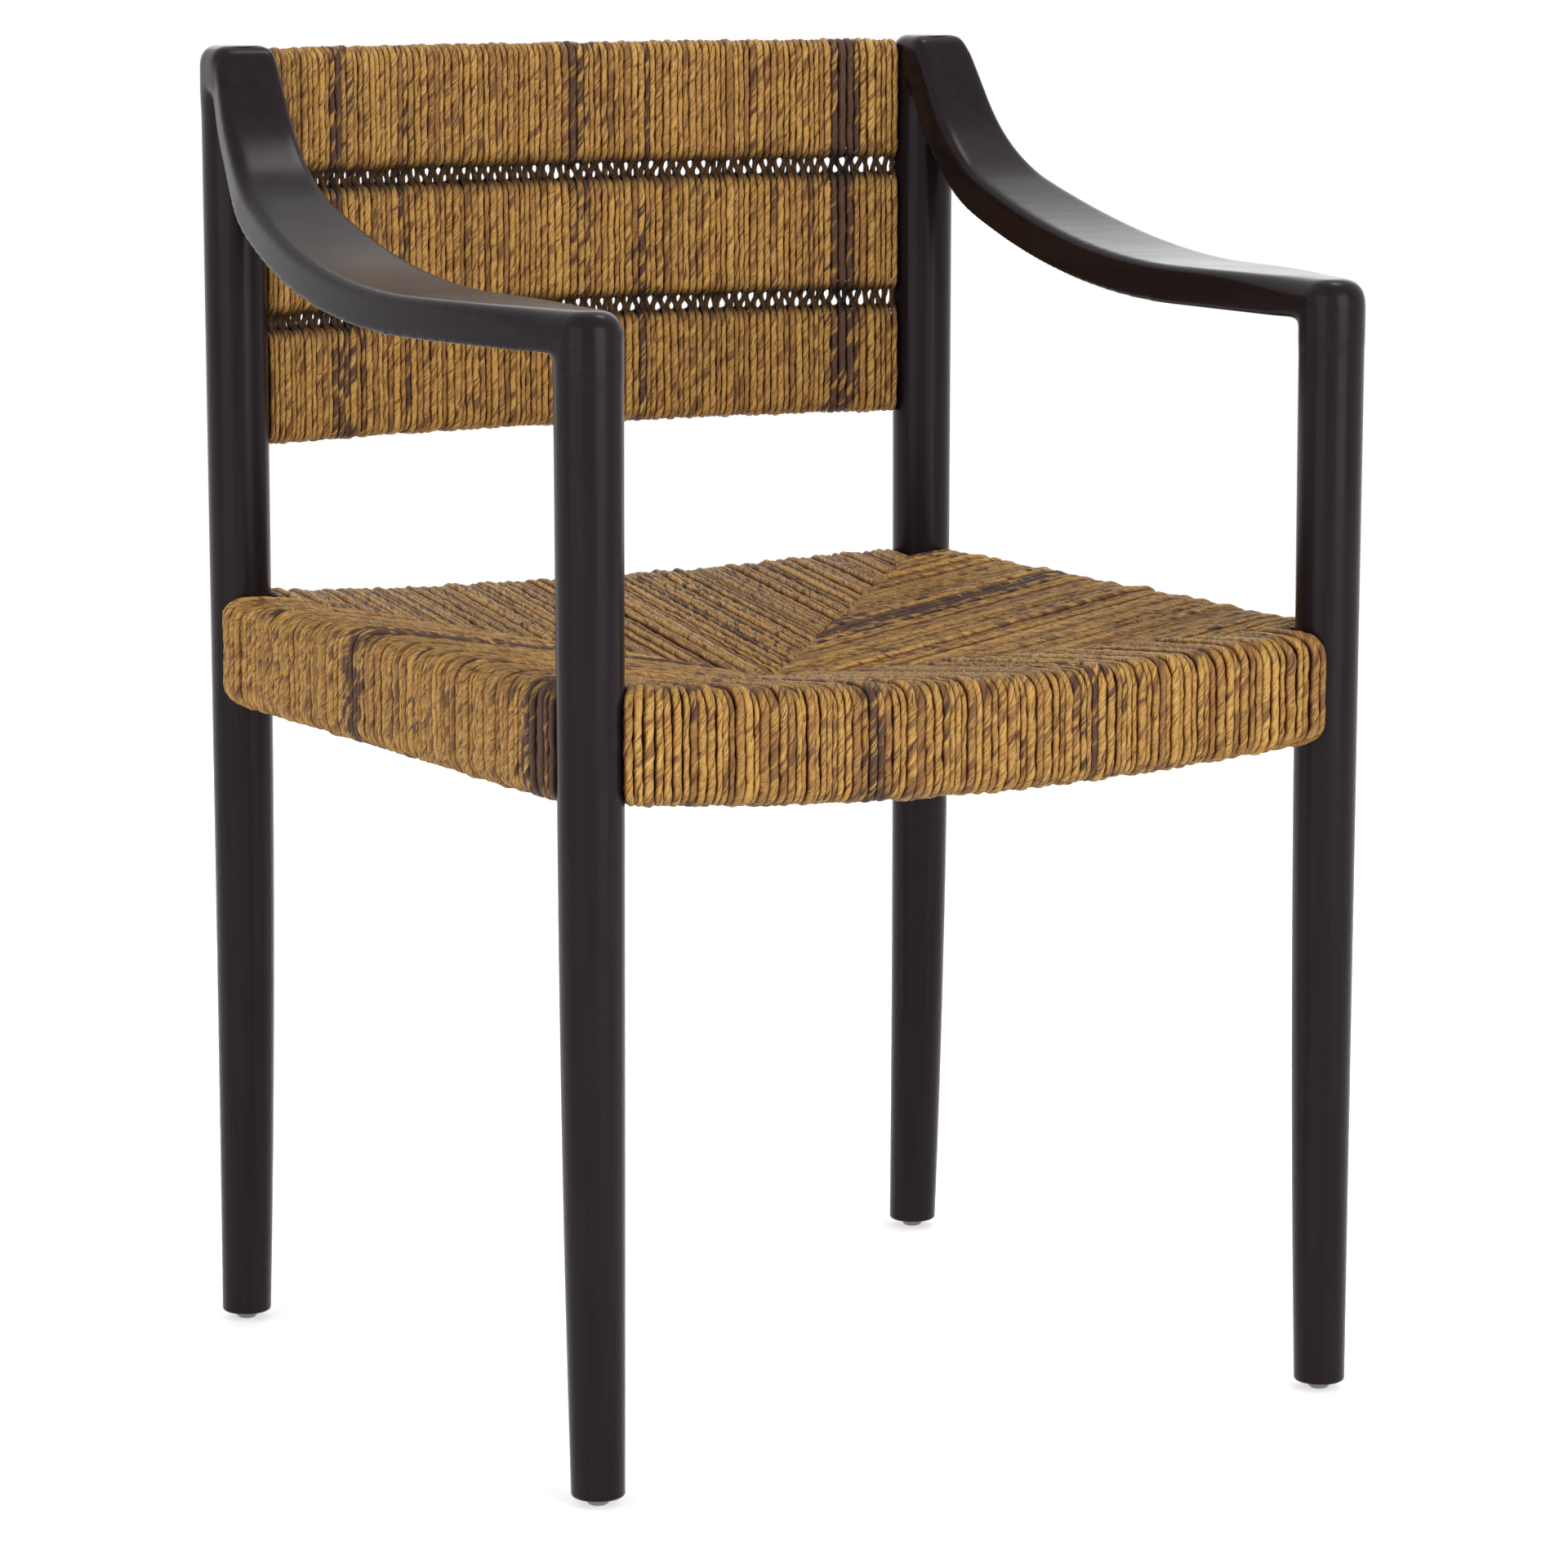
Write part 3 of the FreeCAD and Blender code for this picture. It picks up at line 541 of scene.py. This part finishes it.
def lay_cord(name, paths, radius, step, facets, seed):
    """Sweeps cord along paths of (point, beside, squeeze, shade) into one piece that rides on the chair.

    beside is the way to the next cord, squeeze scales the thickness and shade, 0 to 1, is painted shade: it
    darkens the cord where it lies low or goes in between others.
    """
    points = []
    edges = []
    starts = []
    spent = 0.0
    for path in paths:
        edges += [(len(points) + i, len(points) + i + 1) for i in range(len(path) - 1)]
        points += path
        starts += [spent] * len(path)
        spent += sum((b[0] - a[0]).length for a, b in zip(path, path[1:]))
    mesh = bpy.data.meshes.new(name + "_paths")
    mesh.from_pydata([tuple(point[0]) for point in points], edges, [])
    ways = [number for point in points for number in point[1]]
    mesh.attributes.new("beside", "FLOAT_VECTOR", "POINT").data.foreach_set("vector", ways)
    squeezes = [point[2] for point in points]
    marks = {"cord_start": starts, "squeeze": squeezes, "painted_shade_amount": [point[3] for point in points]}
    for mark, values in marks.items():
        mesh.attributes.new(mark, "FLOAT", "POINT").data.foreach_set("value", values)
    piece = bpy.data.objects.new(name, mesh)
    bpy.context.scene.collection.objects.link(piece)
    sweep = piece.modifiers.new("cord", "NODES")
    sweep.node_group = twisted_cord
    values = {"Radius": radius, "Step": step, "Sides": facets, "Unevenness": 0.5, "Wander": 0.0018,
              "Twist": -0.019, "Groove": 0.0003, "Seed": seed, "Material": cord_fibre}
    for item in twisted_cord.interface.items_tree:
        if item.in_out == "INPUT" and item.name in values:
            sweep[item.identifier] = values[item.name]
    swept = bpy.data.meshes.new_from_object(piece.evaluated_get(bpy.context.evaluated_depsgraph_get()))
    piece.modifiers.clear()
    piece.data = swept
    swept.name = name
    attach(piece, "root")
    return piece


def arc(centre, radius, start, finish, count):
    """Points on an arc in a plane of (depth, height), with angles in degrees."""
    turns = [math.radians(start + (finish - start) * i / count) for i in range(count + 1)]
    return [(centre[0] + radius * math.cos(t), centre[1] + radius * math.sin(t)) for t in turns]


# Seat cords: each runs from a diagonal of the seat over a rail, down its outer face and back underneath.
# Four fields meet on the diagonals, as in a rush seat; front and rear dip a little between the legs.
# Each row stops at the legs and its last turns spread round them. Low-lying cords are painted darker on
# top, as shade from their neighbours, and so are the ends that go in at the diagonals.
seat_radius = 0.00244
front_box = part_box("front_rail_wrap")
rear_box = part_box("rear_rail_wrap")
left_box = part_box("left_rail_wrap")
under_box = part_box("seat_under_weave_left")
rail_top = left_box[1].z
rail_bottom = left_box[0].z
rail_depth = left_box[1].x - left_box[0].x
rail_round = 0.013
seat_middle_y = (left_box[0].y + left_box[1].y) / 2
seat_middle_top = 0.430
seat_middle_under = under_box[1].z - 2 * seat_radius
leg_gap = 0.001
leg_fan = 0.0095
leg_hug = 0.007
side_half = (left_box[1].y - left_box[0].y) / 2 - leg_hug
lowest = -0.0015
highest = 0.0006
lowest_shade = 0.42
uneven = (0.68, 1.32)
stray = 0.0011
looseness = (-0.0008, 0.0006)
inner_edge = 0.006
tuck = ((0.0035, -0.012), (0.002, -0.004), (-0.002, 0.0))
fields = {
    "front": (Vector((0, -1)), seat_middle_y - front_box[0].y, front_box[1].x, 0.012, 11),
    "rear": (Vector((0, 1)), rear_box[1].y - seat_middle_y, rear_box[1].x, 0.005, 12),
    "left": (Vector((1, 0)), left_box[1].x, side_half, 0.0, 13),
    "right": (Vector((-1, 0)), left_box[1].x, side_half, 0.0, 14)}
inner_reach = {name: field[1] - rail_depth for name, field in fields.items()}


def field_point(out, face, along, depth, height):
    """A point on a seat field: its place along the rail, its depth behind the outer face and its height."""
    level = out * (face - depth) + Vector((-out.y, out.x)) * along
    return Vector((level.x, seat_middle_y + level.y, height))


for field_name, (out, face, half, dip, seed) in fields.items():
    rng = random.Random(seed)
    across = inner_reach["left"] if out.x == 0 else inner_reach["front"]
    reach = face - rail_depth
    widths = [rng.uniform(*uneven) for turn in range(round((half - leg_gap) / seat_radius))]
    share_out = 2 * (half - leg_gap) / sum(widths)
    laid_to = leg_gap - half
    beside = Vector((-out.y, out.x, 0))
    over = []
    under = []
    for width in widths:
        s = laid_to + width * share_out / 2
        laid_to += width * share_out
        girth = width * share_out / (2 * seat_radius)
        sag = dip * (1 - (s / half) ** 2)
        share = min(1.0, abs(s) / across)
        meet = rail_depth + reach * (1 - share)
        lift = rng.uniform(lowest, highest)
        shade = lowest_shade * (highest - lift) / (highest - lowest)
        top = rail_top - sag - seat_radius + lift
        bottom = rail_bottom - sag + seat_radius
        valley = seat_middle_top + (rail_top - seat_middle_top) * share - seat_radius + lift
        hollow = seat_middle_under + (rail_bottom - seat_middle_under) * share + seat_radius
        lean = rng.uniform(-stray, stray)
        curl = rail_round - seat_radius
        fan = math.copysign(leg_fan * (abs(s) / half) ** 7, s)
        loose = rng.uniform(*looseness)
        outline = [(meet + d, valley + z) for d, z in tuck]
        outline += [(rail_depth - inner_edge, top - 0.0004)] if meet > rail_depth + 0.004 else []
        outline += arc((rail_round, top - curl), curl, 90, 180, 6)
        outline += arc((rail_round, bottom + curl), curl, 180, 270, 6)
        outline += [(rail_depth - inner_edge, bottom)]
        steps = len(outline) - 1
        laid = []
        for i, (d, z) in enumerate(outline):
            outer = max(0.0, (rail_round - d) / curl)
            place = s + lean * (1 - i / steps) + fan * outer
            wide = girth * (1 + 0.1 * abs(fan) / leg_fan)
            # Painted shade: the first points, where the cord goes in at the diagonal, and the top of a
            # low-lying cord are darkened.
            dive = fade(valley - z, 0.001, 0.006) if i < 2 else shade * (1 - outer)
            laid.append((field_point(out, face, place, d + loose * outer, z), beside, wide, dive))
        over.append(laid)
        outline = [(rail_depth - 2 * inner_edge, bottom), (rail_depth - inner_edge, bottom)]
        outline += [(meet - 0.002, hollow), (meet + 0.003, hollow + 0.006)]
        under.append([(field_point(out, face, s, d, z), beside, girth, 0.0) for d, z in outline])
    seat_cords = lay_cord("seat_cords_" + field_name, over, seat_radius, 0.003, 10, seed)
    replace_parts(seat_cords, field_name + "_rail_wrap", "seat_top_weave_" + field_name)
    under_cords = lay_cord("seat_under_cords_" + field_name, under, seat_radius, 0.006, 8, seed + 20)
    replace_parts(under_cords, "seat_under_weave_" + field_name)


# Seat packing: loose plant fibre pushed in between the two layers of cord, a lumpy wedge in each field.
# Nothing but the cord holds it. It is dull and tangled, and its tangle is drawn coarser than real fibre.
tangle_width = 0.0033
columns = 25
rows = 8
packing_fibre, tree, shader = new_material("loose_plant_fibre_packing")
place = node(tree, "ShaderNodeTexCoord").outputs["Object"]
tangle = node(tree, "ShaderNodeTexNoise", {
    "Vector": place, "Scale": 1 / tangle_width, "Detail": 5.0, "Distortion": 2.0})
tone = node(tree, "ShaderNodeValToRGB", {"Fac": tangle.outputs[0]}, stops=(
    (0.35, "4a3218"), (0.65, "7a5a30")))
tree.links.new(tone.outputs[0], shader.inputs["Base Color"])
shader.inputs["Roughness"].default_value = 0.9
for field_name, (out, face, half, dip, seed) in fields.items():
    rng = random.Random(seed + 40)
    across = inner_reach["left"] if out.x == 0 else inner_reach["front"]
    reach = face - rail_depth
    corners = {}
    points = []
    for i in range(columns):
        s = (half - 0.012) * (2 * i / (columns - 1) - 1)
        share = abs(s) / across
        sag = dip * (1 - (s / half) ** 2)
        for k in range(rows):
            part = k / (rows - 1)
            depth = rail_depth + 0.001 + (reach * (1 - share) - 0.003) * part
            fall = seat_middle_top - rail_top + (rail_top - seat_middle_top) * share + sag
            high = rail_top - sag + fall * part
            low = rail_bottom - sag + (seat_middle_under - rail_bottom) * (1 - share) * part + sag * part
            room = high - low - 4.4 * seat_radius
            for layer, height in (("over", high - 2.2 * seat_radius), ("under", low + 2.2 * seat_radius)):
                lump = rng.uniform(0, 0.0012) * (-1 if layer == "over" else 1) if room > 0.006 else 0.0
                if room < 0.001:
                    height = (high + low) / 2 + (0.0005 if layer == "over" else -0.0005)
                corners[layer, i, k] = len(points)
                points.append(field_point(out, face, s, depth, height + lump))
    faces = []
    for i in range(columns - 1):
        for k in range(rows - 1):
            for layer in ("over", "under"):
                quad = [corners[layer, i + a, k + b] for a, b in ((0, 0), (1, 0), (1, 1), (0, 1))]
                faces.append(quad if layer == "under" else quad[::-1])
        for k in (0, rows - 1):
            quad = [corners["over", i, k], corners["over", i + 1, k]]
            quad += [corners["under", i + 1, k], corners["under", i, k]]
            faces.append(quad if k == 0 else quad[::-1])
    for k in range(rows - 1):
        for i in (0, columns - 1):
            quad = [corners["over", i, k], corners["under", i, k]]
            quad += [corners["under", i, k + 1], corners["over", i, k + 1]]
            faces.append(quad if i == 0 else quad[::-1])
    mesh = bpy.data.meshes.new("seat_fibre_" + field_name)
    mesh.from_pydata([tuple(p) for p in points], [], faces)
    mesh.materials.append(packing_fibre)
    packing = bpy.data.objects.new("seat_fibre_" + field_name, mesh)
    bpy.context.scene.collection.objects.link(packing)
    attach(packing, "root")
    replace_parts(packing, "seat_packing_" + field_name)


# Back cords: each goes down the front of the upper band, the back of the middle and the front of the lower,
# round its edge and up the other sides. Between bands they cross, drawn together in pairs above and below.
back_radius = 0.00224
bands = [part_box(level + "_back_wrap") for level in ("upper", "middle", "lower")]
bow_middle_y = 0.257475
bow_radius = 0.91393
band_half = 0.0108
band_round = 0.009
back_half_width = bow_radius * math.asin(0.2305 / bow_radius)
bow_centre_y = bow_middle_y - bow_radius
flat = band_half - back_radius
drop_profile = (
    (1.0, 0.009), (0.97, 0.005), (0.78, 0.0016), (0.4, -0.0004), (0.17, -0.0018), (0.12, -0.0035))


def back_outline():
    """(depth, height, gather) once round the three bands: gather is -1 or 1 where cords draw into pairs."""
    tops = [band[1].z for band in bands]
    bottoms = [band[0].z for band in bands]
    down = [(flat, tops[0] - 0.022, 0.0), (flat, tops[0] - band_round, 0.0)]
    curl = band_round - back_radius
    down += [(d, z, 0.0) for d, z in arc((flat - curl, tops[0] - band_round), curl, 0, 90, 5)]
    down += [(-d, z, 0.0) for d, z in reversed(arc((flat - curl, tops[0] - band_round), curl, 0, 90, 5))]
    side = -1
    for level in (0, 1):
        down += [(side * flat, bottoms[level] + 0.02, 0.0)]
        down += [(side * flat * out, bottoms[level] + z, -1.0 if z < 0.001 else 0.0)
                 for out, z in drop_profile]
        down += [(-side * flat * out, tops[level + 1] - z, 1.0 if z < 0.001 else 0.0)
                 for out, z in reversed(drop_profile)]
        side = -side
        down += [(side * flat, tops[level + 1] - 0.02, 0.0)]
    low = arc((flat - curl, bottoms[2] + band_round), curl, 0, -90, 5)
    down += [(-d, z, 0.0) for d, z in low] + [(d, z, 0.0) for d, z in reversed(low)]
    side = 1
    for level in (1, 0):
        down += [(side * flat, tops[level + 1] - 0.02, 0.0)]
        down += [(side * flat * out, tops[level + 1] - z, 1.0 if z < 0.001 else 0.0)
                 for out, z in drop_profile]
        down += [(-side * flat * out, bottoms[level] + z, -1.0 if z < 0.001 else 0.0)
                 for out, z in reversed(drop_profile)]
        side = -side
        down += [(side * flat, bottoms[level] + 0.02, 0.0)]
    down += [(flat, tops[0] - 0.02, 0.0)]
    return down


back_uneven = (0.72, 1.28)
pair_draw = (0.0001, 0.0021)
back_looseness = (-0.0006, 0.0005)
post_fan = 0.001
outermost_pull = 0.0015
gathered_girth = 0.79
gap_fade = (0.006, 0.013)
outline = back_outline()
middle_level = (bands[1][0].z + bands[1][1].z) / 2
gap_levels = [(bands[1][1].z + bands[0][0].z) / 2, (bands[2][1].z + bands[1][0].z) / 2]
count = 2 * round(back_half_width / (2 * back_radius))
rng = random.Random(31)
widths = [rng.uniform(*back_uneven) for turn in range(count)]
share_out = 2 * back_half_width / sum(widths)
laid_to = -back_half_width
loops = []
for turn, width in enumerate(widths):
    s = laid_to + width * share_out / 2
    laid_to += width * share_out
    girth = width * share_out / (2 * back_radius)
    fan = math.copysign(post_fan * (abs(s) / back_half_width) ** 7, s)
    draws = [rng.uniform(*pair_draw) for step in range(4)]
    loose = rng.uniform(*back_looseness)
    loop = []
    for depth, height, gather in outline:
        pull = fan * min(1.0, abs(depth) / flat)
        # Painted shade: cords near the gaps between bands are darkened, as the shade where they go in
        # between the bands.
        edge = min(abs(height - level) for level in gap_levels)
        gap_shade = 1 - fade(edge, *gap_fade)
        outermost = turn in (0, count - 1)
        if gather and outermost:
            pull += math.copysign(outermost_pull, s)
        elif gather:
            first = turn % 2 == (0 if gather < 0 else 1)
            draw = draws[(2 if height > middle_level else 0) + (1 if gather < 0 else 0)]
            pull += draw if first else -draw
        angle = (s + pull) / bow_radius
        radius = bow_radius + depth * (1 + loose / flat)
        loop.append((Vector((radius * math.sin(angle), bow_centre_y + radius * math.cos(angle), height)),
                     Vector((math.cos(angle), -math.sin(angle), 0)),
                     gathered_girth if gather else girth, gap_shade))
    loops.append(loop)
wraps = ("upper_back_wrap", "middle_back_wrap", "lower_back_wrap", "upper_back_lacing", "lower_back_lacing")
for side, chosen, seed in (("right", loops[:count // 2], 51), ("left", loops[count // 2:], 52)):
    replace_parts(lay_cord("back_cords_" + side, chosen, back_radius, 0.003, 10, seed), *wraps)


# Floor, light and camera: a plain white studio with wide soft lamps on the left and in front, a small one
# overhead and one behind. The camera looks down a little, from ahead of the sitter's right-hand side.

# Matt white paint on a floor: plain and bright, and it keeps the soft shadow under the feet.
floor_paint, tree, shader = new_material("white_studio_floor")
shader.inputs["Base Color"].default_value = linear("f4f4f4")
shader.inputs["Roughness"].default_value = 0.8
shader.inputs["Specular IOR Level"].default_value = 0.1


def showing(tree):
    """1 on rays that show the studio itself, in the camera, a gloss or glass; 0 on rays that light."""
    rays = node(tree, "ShaderNodeLightPath").outputs
    shows = node(tree, "ShaderNodeMath", {
        0: rays["Is Camera Ray"], 1: rays["Is Glossy Ray"]}, operation="MAXIMUM").outputs[0]
    return node(tree, "ShaderNodeMath", {
        0: shows, 1: rays["Is Transmission Ray"]}, operation="MAXIMUM").outputs[0]


glow = node(tree, "ShaderNodeEmission", {"Strength": 0.5}).outputs[0]
lit = node(tree, "ShaderNodeAddShader", {0: shader.outputs[0], 1: glow}).outputs[0]
shown = node(tree, "ShaderNodeMixShader", {0: showing(tree), 1: shader.outputs[0], 2: lit}).outputs[0]
tree.links.new(shown, tree.nodes["Material Output"].inputs["Surface"])
mesh = bpy.data.meshes.new("studio_floor")
mesh.from_pydata([(-20, -20, 0), (20, -20, 0), (20, 20, 0), (-20, 20, 0)], [], [(0, 1, 2, 3)])
mesh.materials.append(floor_paint)
floor = bpy.data.objects.new("studio_floor", mesh)
bpy.context.scene.collection.objects.link(floor)

world = bpy.data.worlds.new("studio")
bpy.context.scene.world = world
world.use_nodes = True
tree = world.node_tree
surround = tree.nodes["Background"]
surround.inputs["Color"].default_value = (1.0, 1.0, 1.0, 1.0)
surround.inputs["Strength"].default_value = 0.56
seen = node(tree, "ShaderNodeBackground", {"Color": (1.0, 1.0, 1.0, 1.0), "Strength": 1.0}).outputs[0]
mixed = node(tree, "ShaderNodeMixShader", {0: showing(tree), 1: surround.outputs[0], 2: seen}).outputs[0]
tree.links.new(mixed, tree.nodes["World Output"].inputs["Surface"])

lamps = (
    ("key", (-3.2, -1.2, 1.4), 31.0, 2.7, 2.6), ("fill", (0.5, -3.4, 1.4), 52.0, 2.0, 2.6),
    ("top", (0.77, 0.15, 2.5), 6.0, 0.6, 0.5), ("back", (1.8, 3.0, 1.6), 18.0, 3.4, 1.8))
for name, place, power, width, height in lamps:
    lamp = bpy.data.lights.new(name, "AREA")
    lamp.shape = "RECTANGLE"
    lamp.energy = power
    lamp.size = width
    lamp.size_y = height
    holder = bpy.data.objects.new(name, lamp)
    holder.location = place
    holder.rotation_euler = (Vector((0, 0, 0.45)) - Vector(place)).to_track_quat("-Z", "Y").to_euler()
    holder.visible_camera = False
    bpy.context.scene.collection.objects.link(holder)

lens = bpy.data.cameras.new("camera")
lens.sensor_width = 36.0
lens.lens = 127.0
lens.clip_end = 100.0
camera = bpy.data.objects.new("camera", lens)
camera.location = (-1.6748, -2.9487, 0.9094)
camera.rotation_euler = (math.radians(90 - 9.2014), 0.0, math.radians(-29.837))
bpy.context.scene.collection.objects.link(camera)
bpy.context.scene.camera = camera
bpy.context.scene.view_settings.view_transform = "Standard"
